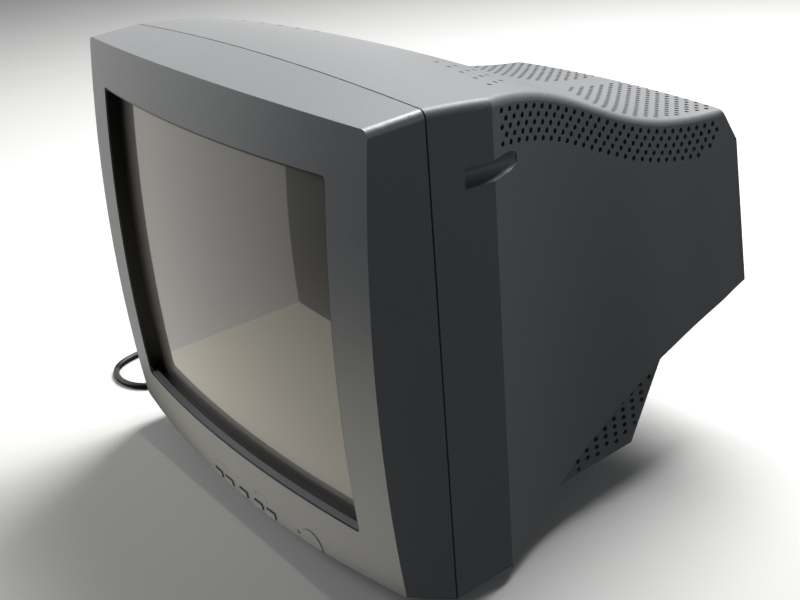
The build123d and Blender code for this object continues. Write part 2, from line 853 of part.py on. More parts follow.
# ---- sockets in the rear recess ----
PANEL_FRONT = POCKET_FRONT - WALL - 2.0
JACKS_X = (88.0, 70.0, 52.0, 26.0, 8.0)
JACK_H = -158.0
ANTENNA_X = -26.0
ANTENNA_H = -156.0
ANTENNA_R = 4.76
with BuildPart() as jack_panel:
    with BuildSketch(across(PANEL_FRONT)):
        with Locations(JACK_WINDOW[:2]):
            Rectangle(JACK_WINDOW[2] + 8.0, JACK_WINDOW[3] + 8.0)
        with Locations(*[(x, JACK_H) for x in JACKS_X]):
            Circle(5.6, mode=Mode.SUBTRACT)
        with Locations((ANTENNA_X, ANTENNA_H)):
            Circle(6.6, mode=Mode.SUBTRACT)
    extrude(amount=-2.0)
keep(jack_panel, "jack_panel")

with BuildPart() as av_jacks:
    for x in JACKS_X:
        with BuildSketch(across(PANEL_FRONT - 13.0)):
            with Locations((x, (JACK_H + 7.0 + BOARD_TOP) / 2)):
                Rectangle(13.0, JACK_H + 7.0 - BOARD_TOP)
        extrude(amount=-12.5)
        with BuildSketch(across(PANEL_FRONT - 0.5)):
            with Locations((x, JACK_H)):
                Circle(5.2)
        extrude(amount=-4.0)
        with BuildSketch(across(PANEL_FRONT - 0.5)):
            with Locations((x, JACK_H)):
                Circle(4.15)
        extrude(amount=-13.5)
        with BuildSketch(across(PANEL_FRONT + 13.0)):
            with Locations((x, JACK_H)):
                Circle(1.6)
        extrude(amount=10.0, mode=Mode.SUBTRACT)
keep(av_jacks, "av_jacks")

with BuildPart() as tuner_module:
    with BuildSketch(level(BOARD_TOP)):
        with Locations((ANTENNA_X, PANEL_FRONT - 33.0)):
            Rectangle(24.0, 64.0)
    extrude(amount=40.0)
    fillet(tuner_module.edges().filter_by(Axis.Z), 1.5)
keep(tuner_module, "tuner_module")

with BuildPart() as antenna_jack:
    with BuildSketch(across(PANEL_FRONT - 1.0)):
        with Locations((ANTENNA_X, ANTENNA_H)):
            Circle(6.2)
    extrude(amount=-3.5)
    with BuildSketch(across(PANEL_FRONT - 1.0)):
        with Locations((ANTENNA_X, ANTENNA_H)):
            Circle(ANTENNA_R)
    extrude(amount=-15.0)
    with BuildSketch(across(PANEL_FRONT + 14.0)):
        with Locations((ANTENNA_X, ANTENNA_H)):
            Circle(0.9)
    extrude(amount=8.0, mode=Mode.SUBTRACT)
keep(antenna_jack, "antenna_jack")

# ---- controls ----
CONTROL_DEPTH = 20.0
SWITCH_FACE = 13.4
STEM_END = 11.6
with BuildPart() as control_board:
    with BuildSketch(across(CONTROL_DEPTH)):
        with Locations((30.0, -194.5)):
            Rectangle(216.0, 21.0)
        with Locations((POWER_X, POWER_STEM_H)):
            Circle(3.2, mode=Mode.SUBTRACT)
    extrude(amount=-1.6)
keep(control_board, "control_board")

with BuildPart() as tact_switches:
    for x in BUTTONS.values():
        with BuildSketch(across(CONTROL_DEPTH)):
            with Locations((x, BUTTON_H)):
                Rectangle(6.0, 6.0)
        extrude(amount=3.6)
        with BuildSketch(across(CONTROL_DEPTH - 3.6)):
            with Locations((x, BUTTON_H)):
                Circle(1.7)
        extrude(amount=CONTROL_DEPTH - 3.6 - SWITCH_FACE)
keep(tact_switches, "tact_switches")

POWER_TRAVEL = 2.0
POWER_STEM_END = 12.4
with BuildPart() as power_switch:
    with BuildSketch(across(CONTROL_DEPTH + 1.6)):
        with Locations((POWER_X, POWER_STEM_H + 1.0)):
            Rectangle(16.0, 12.0)
    extrude(amount=-26.0)
    with BuildSketch(across(CONTROL_DEPTH + 1.6)):
        with Locations((POWER_X, POWER_STEM_H)):
            Circle(2.6)
    extrude(amount=CONTROL_DEPTH + 1.6 - POWER_STEM_END - POWER_TRAVEL - 0.4)
keep(power_switch, "power_switch")

with BuildPart() as infrared_receiver:
    with BuildSketch(across(CONTROL_DEPTH)):
        with Locations((SENSOR_X, SENSOR_H)):
            Rectangle(9.0, 8.0)
    extrude(amount=6.0)
keep(infrared_receiver, "infrared_receiver")

with BuildPart() as remote_sensor_window:
    with BuildSketch(across(-20.0)):
        with Locations((SENSOR_X, SENSOR_H)):
            Circle(SENSOR_R - 0.05)
    extrude(amount=-28.0)
    with Locations(DOME_CENTRE):
        Sphere(FACE_R - 0.4, mode=Mode.INTERSECT)
keep(remote_sensor_window, "remote_sensor_window")

for name, x in BUTTONS.items():
    with BuildPart() as button:
        with BuildSketch(across(-20.0)):
            with Locations((x, BUTTON_H)):
                RectangleRounded(BUTTON_W, BUTTON_TALL, 0.7)
        extrude(amount=-(20.0 + 1.0))
        with Locations(DOME_CENTRE):
            Sphere(FACE_R + 1.3, mode=Mode.INTERSECT)
        with BuildSketch(across(1.0)):
            with Locations((x, BUTTON_H)):
                Circle(2.4)
        extrude(amount=-(STEM_END - 1.0))
    keep(button, name)

with BuildPart() as power_button:
    with BuildSketch(across(-20.0)):
        with Locations((POWER_X, POWER_H)):
            Circle(POWER_R)
    extrude(amount=-(20.0 + 9.0))
    add(lofted([-25.0, SEAM], 0.25), mode=Mode.INTERSECT)
    with Locations(DOME_CENTRE):
        Sphere(FACE_R + 0.6, mode=Mode.INTERSECT)
    with BuildSketch(across(9.0)):
        with Locations((POWER_X, POWER_STEM_H)):
            Circle(3.0)
    extrude(amount=-(POWER_STEM_END - 9.0))
keep(power_button, "power_button")

# ---- loudspeakers behind the vents of the chassis box ----
SPEAKER_DEPTH = 286.0
SPEAKER_H = -155.0
for name, side in (("left_speaker", -1), ("right_speaker", 1)):
    with BuildPart() as speaker:
        for start, radius, long in ((0.3, 25.0, 2.0), (2.3, 21.0, 10.0), (12.3, 15.0, 9.0)):
            with BuildSketch(lengthways(side * (BOX_HALF - WALL - start - long))):
                with Locations((SPEAKER_DEPTH, SPEAKER_H)):
                    Circle(radius)
            extrude(amount=side * long)
        with BuildSketch(lengthways(side * (BOX_HALF - WALL - 0.3))):
            with Locations((SPEAKER_DEPTH, SPEAKER_H)):
                Circle(19.0)
        extrude(amount=-side * 9.0, taper=45.0, mode=Mode.SUBTRACT)
    keep(speaker, name)

# ---- feet ----
with BuildPart() as front_feet:
    for x in (-190.0, 190.0):
        with BuildSketch(level(-228.0)):
            with Locations((x, 74.0)):
                RectangleRounded(34.0, 16.0, 4.0)
        extrude(amount=9.0)
    add(band_outer, mode=Mode.SUBTRACT)
keep(front_feet, "front_feet")

with BuildPart() as rear_foot_pads:
    for x in (-104.0, 104.0):
        with BuildSketch(level(-228.0)):
            with Locations((x, 288.0)):
                RectangleRounded(40.0, 26.0, 5.0)
        extrude(amount=2.0)
keep(rear_foot_pads, "rear_foot_pads")

# ---- degaussing coil: a taped bundle laid round the panel ----
with BuildPart() as degaussing_coil:
    with BuildSketch(across(66.0)):
        RectangleRounded(460.0, 355.0, 36.0)
        RectangleRounded(445.6, 340.6, 28.8, mode=Mode.SUBTRACT)
    extrude(amount=-7.2)
    fillet(degaussing_coil.edges(), 2.4)
keep(degaussing_coil, "degaussing_coil")

with BuildPart() as ground_braid:
    with BuildLine() as braid_line:
        FilletPolyline(
            place(-200.0, 84.0, 178.0),
            place(-110.0, 150.0, 152.0),
            place(110.0, 150.0, 152.0),
            place(200.0, 84.0, 178.0),
            radius=30.0,
        )
    with BuildSketch(Plane(braid_line.line @ 0, z_dir=braid_line.line % 0)):
        Circle(1.5)
    sweep()
keep(ground_braid, "ground_braid")

# ---- mains cord ----
with BuildPart() as strain_relief:
    with BuildSketch(across(POCKET_FRONT - WALL - 2.5)):
        with Locations((CORD_X, CORD_H)):
            Circle(8.5)
    extrude(amount=-2.5)
    with BuildSketch(across(POCKET_FRONT - WALL)):
        with Locations((CORD_X, CORD_H)):
            Circle(5.9)
    extrude(amount=-WALL)
    with BuildSketch(across(POCKET_FRONT)):
        with Locations((CORD_X, CORD_H)):
            Circle(8.5)
    extrude(amount=-2.5)
    with BuildSketch(across(POCKET_FRONT + 2.5)):
        with Locations((CORD_X, CORD_H)):
            Circle(6.3)
    extrude(amount=-34.0, taper=2.5)
keep(strain_relief, "strain_relief")
BOOT_END = POCKET_FRONT + 2.5 + 34.0

FLOOR_H = -AXIS + CORD_D / 2 + 0.1  # height of the cord's middle where it lies on the floor
CORD_ROUTE = (
    (CORD_X, BOOT_END, CORD_H),
    (CORD_X, 373.0, CORD_H),
    (-92.0, 408.0, -187.0),
    (-106.0, 437.0, -215.0),
    (-133.0, 470.0, FLOOR_H),
    (-182.0, 487.0, FLOOR_H),
    (-241.0, 474.0, FLOOR_H),
    (-297.0, 440.0, FLOOR_H),
    (-341.0, 392.0, FLOOR_H),
    (-372.0, 335.0, FLOOR_H),
    (-394.0, 272.0, FLOOR_H),
    (-408.0, 205.0, FLOOR_H),
    (-415.0, 135.0, FLOOR_H),
    (-413.0, 68.0, FLOOR_H),
    (-395.0, 28.0, FLOOR_H),
    (-355.0, 16.0, FLOOR_H),
    (-320.0, 30.0, FLOOR_H),
    (-306.0, 70.0, FLOOR_H),
    (-303.0, 125.0, FLOOR_H),
    (-308.0, 178.0, FLOOR_H),
)
COIL_X = -349.0
COIL_DEPTH = 200.0
COIL_R = 40.0
CORD_LENGTH = 1800.0

cord_points = [Vector(*place(*point)) for point in CORD_ROUTE]
cord_runs = [b - a for a, b in zip(cord_points, cord_points[1:])]
cord_turns = [a.get_angle(b) for a, b in zip(cord_runs, cord_runs[1:])]
cord_radii = [
    0.45 * min(a.length, b.length) / math.tan(math.radians(turn / 2))
    for a, b, turn in zip(cord_runs, cord_runs[1:], cord_turns)
]
print("cord turns", [round(turn) for turn in cord_turns])
print("cord radii", [round(radius) for radius in cord_radii])

with BuildPart() as power_cord:
    with BuildLine() as cord_line:
        FilletPolyline(*cord_points, radius=cord_radii)
    with BuildSketch(Plane(cord_points[0], z_dir=cord_runs[0])):
        Circle(CORD_D / 2)
    sweep()
keep(power_cord, "power_cord")
tube_length = cord_line.wire().length
print("cord tube length", round(tube_length, 1))
cord_section = math.pi * (CORD_D / 2) ** 2
print("tube volume over section times length", power_cord.part.volume / (cord_section * tube_length))

# the length that is put away: a coil two cords wide and two high
with BuildPart() as power_cord_coil:
    with BuildSketch(level(-AXIS)):
        with Locations((COIL_X, COIL_DEPTH)):
            Circle(COIL_R + CORD_D)
            Circle(COIL_R - CORD_D, mode=Mode.SUBTRACT)
    extrude(amount=2 * CORD_D)
    fillet(power_cord_coil.edges(), 2.5)
keep(power_cord_coil, "power_cord_coil")
print("coil turns", (CORD_LENGTH - tube_length) / (2 * math.pi * COIL_R))

# two-pin plug, lying on the coil and in line with it
PLUG_X = COIL_X + COIL_R
PLUG_FACE = COIL_DEPTH + 42.0
PLUG_LOW = -AXIS + 2 * CORD_D
with BuildPart() as power_plug:
    with BuildSketch(level(PLUG_LOW)):
        with BuildLine():
            Polyline(
                (PLUG_X - 11.5, PLUG_FACE),
                (PLUG_X + 11.5, PLUG_FACE),
                (PLUG_X + 9.5, PLUG_FACE - 22.0),
                (PLUG_X + 4.0, PLUG_FACE - 42.0),
                (PLUG_X - 4.0, PLUG_FACE - 42.0),
                (PLUG_X - 9.5, PLUG_FACE - 22.0),
                close=True,
            )
        make_face()
    extrude(amount=13.0)
    fillet(power_plug.edges().filter_by(Axis.Z), 2.0)
    fillet(power_plug.edges().group_by(Axis.Z)[-1], 1.5)
    with BuildSketch(across(PLUG_FACE)):
        with Locations((PLUG_X - 6.35, PLUG_LOW + 6.5)):
            Rectangle(1.5, 6.4)
        with Locations((PLUG_X + 6.35, PLUG_LOW + 6.5)):
            Rectangle(1.5, 7.9)
    extrude(amount=-16.5)
keep(power_plug, "power_plug")
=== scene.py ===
import math

import bmesh
import bpy
from mathutils import Matrix, Vector


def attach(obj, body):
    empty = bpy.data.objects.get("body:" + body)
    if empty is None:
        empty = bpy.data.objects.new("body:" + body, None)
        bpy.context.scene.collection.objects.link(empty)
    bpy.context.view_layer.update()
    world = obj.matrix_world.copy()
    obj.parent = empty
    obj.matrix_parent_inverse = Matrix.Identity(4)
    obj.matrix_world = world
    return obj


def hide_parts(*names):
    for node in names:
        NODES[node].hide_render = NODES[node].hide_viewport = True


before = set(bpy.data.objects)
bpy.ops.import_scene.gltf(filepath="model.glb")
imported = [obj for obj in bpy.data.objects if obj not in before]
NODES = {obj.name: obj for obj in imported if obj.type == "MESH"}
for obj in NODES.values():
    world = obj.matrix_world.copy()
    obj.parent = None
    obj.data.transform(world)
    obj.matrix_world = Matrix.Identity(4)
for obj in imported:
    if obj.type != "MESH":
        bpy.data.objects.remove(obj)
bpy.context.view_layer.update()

# A table-top television set with a 20 inch picture tube, seen from its right front.
# Metres; +X right, +Y to the back, +Z up, the floor at Z = 0.

MM = 0.001
SCENE = bpy.context.scene
SCENE.view_settings.view_transform = "Standard"

# the plane of the screen opening's corners, and the height of the tube's axis
FACE_Y = -232.8 * MM
AXIS_Z = 228.0 * MM
# the front is part of a sphere that stands this far out at its middle, in millimetres
DOME_RADIUS = 1600.0
DOME_RISE = 21.7


def place(x, depth, height):
    """A point in the row frame from millimetres behind the opening and over the axis."""
    return Vector((x * MM, FACE_Y + depth * MM, AXIS_Z + height * MM))


def dome_depth(x, height):
    """How far behind the opening's corners the domed front lies, in millimetres."""
    return (x * x + height * height) / (2 * DOME_RADIUS) - DOME_RISE


# ---------------------------------------------------------------- camera

AZIMUTH, ELEVATION, ROLL = 57.68, 23.79, -4.59
CAMERA_AT = place(1023.87, -469.94, 446.11)


def add_camera():
    azimuth, elevation, roll = (math.radians(a) for a in (AZIMUTH, ELEVATION, ROLL))
    back = Vector(
        (
            math.sin(azimuth) * math.cos(elevation),
            -math.cos(azimuth) * math.cos(elevation),
            math.sin(elevation),
        )
    )
    right = Vector((0, 0, 1)).cross(back).normalized()
    up = back.cross(right)
    turned = Matrix((right, up, back)).transposed() @ Matrix.Rotation(roll, 3, "Z")
    camera = bpy.data.objects.new("camera", bpy.data.cameras.new("camera"))
    camera.matrix_world = Matrix.Translation(CAMERA_AT) @ turned.to_4x4()
    camera.data.lens = 60.92
    camera.data.sensor_width = 36.0
    camera.data.shift_x = 0.005
    camera.data.shift_y = 0.032
    camera.data.clip_end = 50.0
    SCENE.collection.objects.link(camera)
    SCENE.camera = camera


add_camera()

# ---------------------------------------------------------------- mains cord

CORD_D = 7.0
FLOOR_H = -228.0 + CORD_D / 2 + 0.1
CORD_ROUTE = (
    (-84.0, 336.5, -158.0),
    (-84.0, 373.0, -158.0),
    (-92.0, 408.0, -187.0),
    (-106.0, 437.0, -215.0),
    (-133.0, 470.0, FLOOR_H),
    (-182.0, 487.0, FLOOR_H),
    (-241.0, 474.0, FLOOR_H),
    (-297.0, 440.0, FLOOR_H),
    (-341.0, 392.0, FLOOR_H),
    (-372.0, 335.0, FLOOR_H),
    (-394.0, 272.0, FLOOR_H),
    (-408.0, 205.0, FLOOR_H),
    (-415.0, 135.0, FLOOR_H),
    (-413.0, 68.0, FLOOR_H),
    (-395.0, 28.0, FLOOR_H),
    (-355.0, 16.0, FLOOR_H),
    (-320.0, 30.0, FLOOR_H),
    (-306.0, 70.0, FLOOR_H),
    (-303.0, 125.0, FLOOR_H),
    (-308.0, 178.0, FLOOR_H),
)
COIL_X, COIL_DEPTH, COIL_R = -349.0, 200.0, 40.0
COIL_START, COIL_END = -20.0, 1055.0
TURN_STEP = 25.0
# how far up a cord lies in the groove between two others, in diameters
GROOVE = 0.87
# the last turn's end stands a little higher, up to the plug
PLUG_CLIMB = 0.4


def ramp(value, start, end):
    """0 before start, 1 after end, and even in between."""
    return min(max((value - start) / (end - start), 0.0), 1.0)


def coil_points():
    """Two turns side by side on the floor, then a third laid in the groove over them."""
    points = []
    steps = int((COIL_END - COIL_START) / TURN_STEP)
    for step in range(steps + 1):
        angle = COIL_START + (COIL_END - COIL_START) * step / steps
        turn = (angle - COIL_START) / 360.0
        # the first turn moves inside itself, and the second climbs over that crossing
        radius = COIL_R + CORD_D / 2 - CORD_D * ramp(turn, 0.75, 1.0)
        radius += CORD_D / 2 * ramp(turn, 1.5, 1.75)
        lift = CORD_D * ramp(turn, 1.5, 1.75) - (1 - GROOVE) * CORD_D * ramp(turn, 2.05, 2.2)
        # the last one climbs over the second's end and up to the plug
        lift += (2 - GROOVE) * CORD_D * ramp(turn, 2.45, 2.75)
        lift += PLUG_CLIMB * CORD_D * ramp(turn, 2.8, 2.98)
        radians = math.radians(angle)
        points.append(
            (
                COIL_X + radius * math.cos(radians),
                COIL_DEPTH + radius * math.sin(radians),
                FLOOR_H + lift,
            )
        )
    return points


PLUG_X = COIL_X + COIL_R
PLUG_TAIL = COIL_DEPTH
PLUG_H = -228.0 + 2 * CORD_D + 6.5
# the cord runs on inside the plug by this much
PLUG_GRIP = 12.0


def add_cord():
    points = list(CORD_ROUTE) + coil_points()
    points += [(PLUG_X, PLUG_TAIL, PLUG_H), (PLUG_X, PLUG_TAIL + PLUG_GRIP, PLUG_H)]
    curve = bpy.data.curves.new("mains_cord", "CURVE")
    curve.dimensions = "3D"
    curve.resolution_u = 6
    curve.bevel_depth = CORD_D / 2 * MM
    curve.bevel_resolution = 3
    curve.use_fill_caps = True
    spline = curve.splines.new("NURBS")
    spline.points.add(len(points) - 1)
    for point, at in zip(spline.points, points):
        point.co = (*place(*at), 1.0)
    spline.order_u = 3
    spline.use_endpoint_u = True
    cord = bpy.data.objects.new("mains_cord", curve)
    SCENE.collection.objects.link(cord)
    return cord


mains_cord = add_cord()


def solid_piece(name, outline, along):
    """A closed piece: a flat outline pushed through along a vector."""
    bm = bmesh.new()
    made = bmesh.ops.contextual_create(bm, geom=[bm.verts.new(point) for point in outline])
    pushed = bmesh.ops.extrude_face_region(bm, geom=made["faces"])
    moved = [item for item in pushed["geom"] if isinstance(item, bmesh.types.BMVert)]
    bmesh.ops.translate(bm, verts=moved, vec=along)
    bmesh.ops.recalc_face_normals(bm, faces=bm.faces)
    mesh = bpy.data.meshes.new(name)
    bm.to_mesh(mesh)
    bm.free()
    piece = bpy.data.objects.new(name, mesh)
    SCENE.collection.objects.link(piece)
    return piece


TIE_ANGLE, TIE_W, TIE_STEPS = 80.0, 5.0, 48
TIE_THICK = 0.05


def add_tie():
    """A band drawn tight round the three turns, where they lie beside and on each other."""
    grip = CORD_D / 2 + TIE_THICK
    turns = (
        (COIL_R + CORD_D / 2, 0.0),
        (COIL_R - CORD_D / 2, 0.0),
        (COIL_R, GROOVE * CORD_D),
    )
    heading = math.radians(TIE_ANGLE)
    outline = []
    for step in range(TIE_STEPS):
        angle = 2 * math.pi * (step + 0.5) / TIE_STEPS
        across, up = math.cos(angle), math.sin(angle)
        radius, lift = max(turns, key=lambda turn: turn[0] * across + turn[1] * up)
        radius += grip * across
        outline.append(
            place(
                COIL_X + radius * math.cos(heading) + TIE_W / 2 * math.sin(heading),
                COIL_DEPTH + radius * math.sin(heading) - TIE_W / 2 * math.cos(heading),
                FLOOR_H + lift + grip * up,
            )
        )
    along = Vector((-math.sin(heading), math.cos(heading), 0.0)) * TIE_W * MM
    return solid_piece("cord_tie", outline, along)


cord_tie = add_tie()

# ---------------------------------------------------------------- materials


def linear(hex_colour):
    """An sRGB hex value as a linear colour."""
    parts = [int(hex_colour[i : i + 2], 16) / 255 for i in (1, 3, 5)]
    return [p / 12.92 if p <= 0.04045 else ((p + 0.055) / 1.055) ** 2.4 for p in parts] + [1.0]


def node(tree, kind, settings=None, links=None):
    """Adds a node; settings are attributes or input values, links are input: output."""
    made = tree.nodes.new("ShaderNode" + kind)
    for key, value in (settings or {}).items():
        if isinstance(key, str) and hasattr(made, key):
            setattr(made, key, value)
        else:
            made.inputs[key].default_value = value
    for key, output in (links or {}).items():
        tree.links.new(output, made.inputs[key])
    return made


def material(name, base, rough, metallic=0.0, sockets=None):
    """A material with a principled shader, whose plain values sit on its sockets."""
    made = bpy.data.materials.new(name)
    made.use_nodes = True
    tree = made.node_tree
    shader = tree.nodes["Principled BSDF"]
    shader.inputs["Base Color"].default_value = linear(base)
    shader.inputs["Roughness"].default_value = rough
    shader.inputs["Metallic"].default_value = metallic
    for key, value in (sockets or {}).items():
        shader.inputs[key].default_value = value
    return made, tree, shader


# where the two tones of a mottle start to blend, on a scale of 0 to 1
MOTTLE_LOW, MOTTLE_HIGH = 0.3, 0.7


def mottle(tree, shader, dark, light, size_mm, detail=4.0):
    """Colour that wanders between two tones over patches of a real size."""
    where = node(tree, "TexCoord").outputs["Object"]
    noise = node(tree, "TexNoise", {"Scale": 1000.0 / size_mm, "Detail": detail}, {"Vector": where})
    tones = node(tree, "ValToRGB", {}, {"Fac": noise.outputs["Fac"]})
    tones.color_ramp.elements[0].position = MOTTLE_LOW
    tones.color_ramp.elements[0].color = linear(dark)
    tones.color_ramp.elements[1].position = MOTTLE_HIGH
    tones.color_ramp.elements[1].color = linear(light)
    tree.links.new(tones.outputs["Color"], shader.inputs["Base Color"])


def grain(tree, shader, size_mm, depth_mm, strength):
    """Fine relief of a moulded, cast or painted skin."""
    where = node(tree, "TexCoord").outputs["Object"]
    noise = node(tree, "TexNoise", {"Scale": 1000.0 / size_mm, "Detail": 2.0}, {"Vector": where})
    bump = node(
        tree,
        "Bump",
        {"Strength": strength, "Distance": depth_mm * MM},
        {"Height": noise.outputs["Fac"]},
    )
    tree.links.new(bump.outputs["Normal"], shader.inputs["Normal"])


def uneven_gloss(tree, shader, size_mm, low, high):
    """Roughness that varies with handling and with the flow of the moulding."""
    where = node(tree, "TexCoord").outputs["Object"]
    noise = node(tree, "TexNoise", {"Scale": 1000.0 / size_mm, "Detail": 5.0}, {"Vector": where})
    spread = node(
        tree, "MapRange", {"To Min": low, "To Max": high}, {"Value": noise.outputs["Fac"]}
    )
    tree.links.new(spread.outputs["Result"], shader.inputs["Roughness"])


def silver_paint():
    # Silver lacquer sprayed on moulded polystyrene: fine flake, satin, paler at grazing angles.
    made, tree, shader = material("silver_painted_polystyrene", "#86898d", 0.42, 0.2)
    shader.inputs["Specular IOR Level"].default_value = 0.6
    mottle(tree, shader, "#7f8387", "#8a8d91", 0.9, 2.0)
    grain(tree, shader, 0.7, 0.02, 0.25)
    uneven_gloss(tree, shader, 60.0, 0.36, 0.46)
    return made


def cover_plastic():
    # Grey high-impact polystyrene from a spark-eroded mould: matt with a fine even grain.
    made, tree, shader = material("grained_grey_polystyrene", "#84868a", 0.5)
    mottle(tree, shader, "#7f8184", "#888a8c", 1.4, 3.0)
    grain(tree, shader, 0.9, 0.05, 0.35)
    uneven_gloss(tree, shader, 90.0, 0.46, 0.58)
    return made


def black_plastic(name="black_polystyrene", base="#08080a", rough=0.35):
    # Black polystyrene, moulded against a plain steel face, so it has a low shine.
    made, tree, shader = material(name, base, rough)
    grain(tree, shader, 0.8, 0.02, 0.2)
    uneven_gloss(tree, shader, 40.0, rough - 0.05, rough + 0.1)
    return made


def tube_face_glass():
    # Polished tinted panel glass over the pale phosphor, which reads as a warm grey.
    made, tree, shader = material("tinted_panel_glass", "#55544f", 0.35, sockets={"IOR": 1.52})
    shader.inputs["Coat Weight"].default_value = 1.0
    shader.inputs["Coat Roughness"].default_value = 0.02
    shader.inputs["Coat IOR"].default_value = 1.54
    mottle(tree, shader, "#53524c", "#58564f", 1.2, 1.0)
    return made


def graphite_glass():
    # Funnel glass painted outside with graphite, soft black with brush marks.
    made, tree, shader = material("graphite_coated_glass", "#17171a", 0.6)
    mottle(tree, shader, "#121214", "#26262a", 14.0)
    grain(tree, shader, 2.0, 0.06, 0.4)
    return made


def clear_glass():
    # Drawn lead glass tube, clear and slightly grey.
    made, tree, shader = material(
        "clear_neck_glass", "#c9cfcd", 0.05, sockets={"IOR": 1.56, "Transmission Weight": 0.85}
    )
    uneven_gloss(tree, shader, 20.0, 0.03, 0.08)
    return made


# width of a rolling mark on sheet metal, and how many widths long it is
ROLL_MM, ROLL_STRETCH = 2.5, 9.0


def bright_metal(name, base, rough):
    # Plated or drawn sheet: the shine breaks up along faint rolling marks.
    made, tree, shader = material(name, base, rough, 1.0)
    where = node(tree, "TexCoord").outputs["Object"]
    stretch = (1.0, ROLL_STRETCH, ROLL_STRETCH)
    stretched = node(tree, "Mapping", {"Scale": stretch}, {"Vector": where})
    noise = node(
        tree,
        "TexNoise",
        {"Scale": 1000.0 / ROLL_MM, "Detail": 4.0},
        {"Vector": stretched.outputs["Vector"]},
    )
    spread = node(
        tree,
        "MapRange",
        {"To Min": rough - 0.08, "To Max": rough + 0.12},
        {"Value": noise.outputs["Fac"]},
    )
    tree.links.new(spread.outputs["Result"], shader.inputs["Roughness"])
    return made


def copper_wire():
    # Enamelled copper wound in layers, drawn as ridges about as wide as four wires.
    made, tree, shader = material("enamelled_copper_wire", "#8a3d1c", 0.35, 0.8)
    where = node(tree, "TexCoord").outputs["Object"]
    wave = node(
        tree,
        "TexWave",
        {"Scale": 230.0, "Distortion": 1.5, "bands_direction": "DIAGONAL"},
        {"Vector": where},
    )
    bump = node(
        tree, "Bump", {"Strength": 0.6, "Distance": 0.4 * MM}, {"Height": wave.outputs["Fac"]}
    )
    tree.links.new(bump.outputs["Normal"], shader.inputs["Normal"])
    mottle(tree, shader, "#6e2c12", "#a04a22", 9.0)
    return made


def phenolic_board():
    # Pressed paper and phenolic resin: brown, mottled and half matt.
    made, tree, shader = material("paper_phenolic_board", "#8c6631", 0.5)
    mottle(tree, shader, "#7c5829", "#9a7239", 6.0)
    grain(tree, shader, 1.2, 0.03, 0.3)
    return made


def phono_plastic():
    # Moulded phono sockets: yellow for the picture, white and red for the sound.
    made, tree, shader = material("phono_socket_plastic", "#d8b020", 0.3)
    where = node(tree, "TexCoord").outputs["Object"]
    along = node(tree, "SeparateXYZ", {}, {"Vector": where})
    spread = node(
        tree,
        "MapRange",
        {"From Min": 0.0, "From Max": 100 * MM},
        {"Value": along.outputs["X"]},
    )
    tones = node(tree, "ValToRGB", {}, {"Fac": spread.outputs["Result"]})
    tones.color_ramp.interpolation = "CONSTANT"
    red, white, yellow = "#b01018", "#e4e2da", "#dcb414"
    bands = ((0.0, red), (0.17, white), (0.39, red), (0.61, white), (0.79, yellow))
    elements = tones.color_ramp.elements
    elements[0].color = linear(bands[0][1])
    elements[1].position = bands[1][0]
    elements[1].color = linear(bands[1][1])
    for at, colour in bands[2:]:
        elements.new(at).color = linear(colour)
    tree.links.new(tones.outputs["Color"], shader.inputs["Base Color"])
    grain(tree, shader, 0.8, 0.01, 0.15)
    return made


def simple(name, dark, light, rough, size_mm, relief_mm=0.02, metallic=0.0):
    # Smaller inner parts: a mottled colour and a faint skin.
    made, tree, shader = material(name, light, rough, metallic)
    mottle(tree, shader, dark, light, size_mm)
    grain(tree, shader, size_mm / 4, relief_mm, 0.3)
    return made


def vinyl_cord():
    # Extruded vinyl lead: black, faintly shiny, with long shallow waves from handling.
    made, tree, shader = material("black_vinyl_cord", "#0b0b0c", 0.4)
    mottle(tree, shader, "#090909", "#101011", 12.0)
    grain(tree, shader, 1.5, 0.04, 0.35)
    return made


silver = silver_paint()
cover = cover_plastic()
black = black_plastic()
vinyl = vinyl_cord()
steel = bright_metal("zinc_plated_steel", "#b8b4a8", 0.32)
tin = bright_metal("tin_plated_sheet", "#bcbcb6", 0.3)
board = phenolic_board()
copper = copper_wire()
ferrite = simple("sintered_ferrite", "#17171a", "#24242a", 0.6, 3.0)
ivory = simple("moulded_ivory_nylon", "#b8b4a4", "#c6c2b2", 0.5, 5.0)
bakelite = simple("brown_bakelite", "#2a1812", "#38221a", 0.35, 4.0)
rubber = simple("matt_black_rubber", "#101010", "#181818", 0.8, 4.0)
anode_red = simple("red_silicone_rubber", "#4e120e", "#5e1812", 0.45, 6.0)
mask_black = simple("blackened_steel", "#141416", "#1e1e20", 0.5, 6.0, metallic=0.6)

